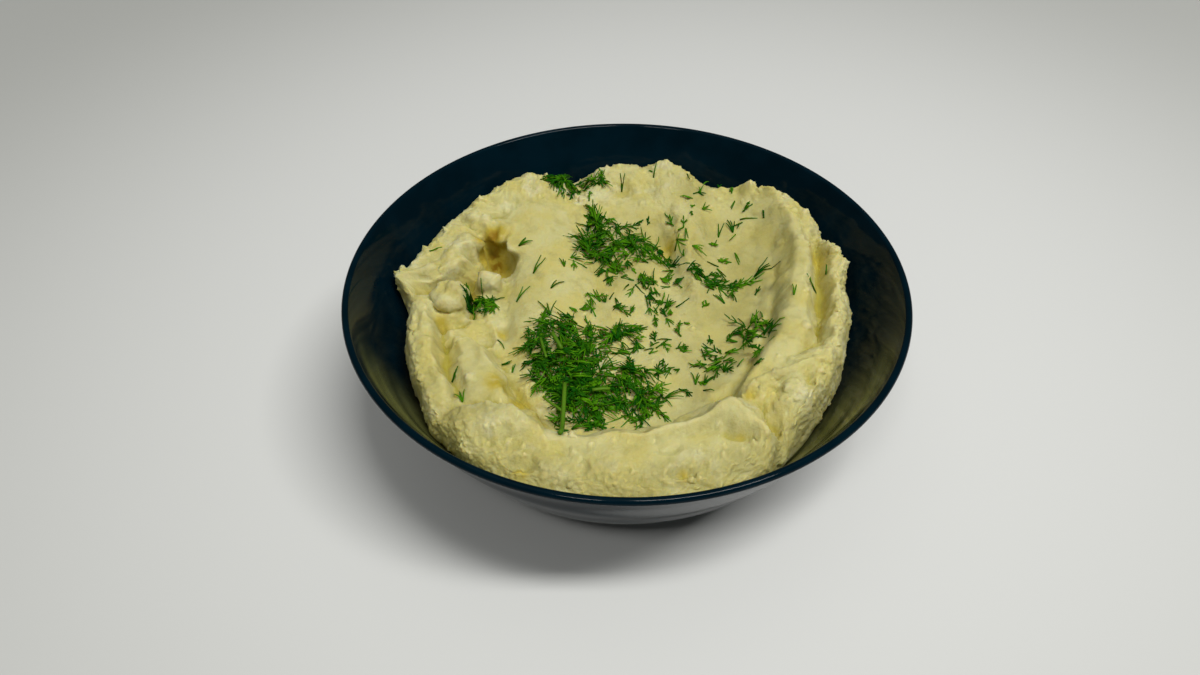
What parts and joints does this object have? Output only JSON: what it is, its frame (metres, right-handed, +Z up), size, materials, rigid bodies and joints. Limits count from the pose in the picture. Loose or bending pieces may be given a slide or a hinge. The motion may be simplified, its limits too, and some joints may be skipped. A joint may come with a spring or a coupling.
{
  "type": "mashed potato side in a bowl",
  "caption": "Spooned heap of mashed potato, hollowed and ridged, with chopped dill, in a round flared bowl with a glossy near-black navy glaze.",
  "frame": {"origin": "centre of the bowl's foot, on the surface that the bowl stands on", "axes": "+Z up out of the bowl's mouth along its turning axis, -Y towards the front of the heap, the side with the long front roll"},
  "size_m": [0.1998, 0.1998, 0.0699],
  "materials": {
    "glaze": "glossy, so dark a navy that it is nearly black",
    "mash": "soft, moist and pale creamy yellow",
    "dill": "fresh chopped leaf, dark green"
  },
  "bodies": {
    "root": {"bowl": "glaze", "mashed_potato": "mash"}
  },
  "joints": []
}
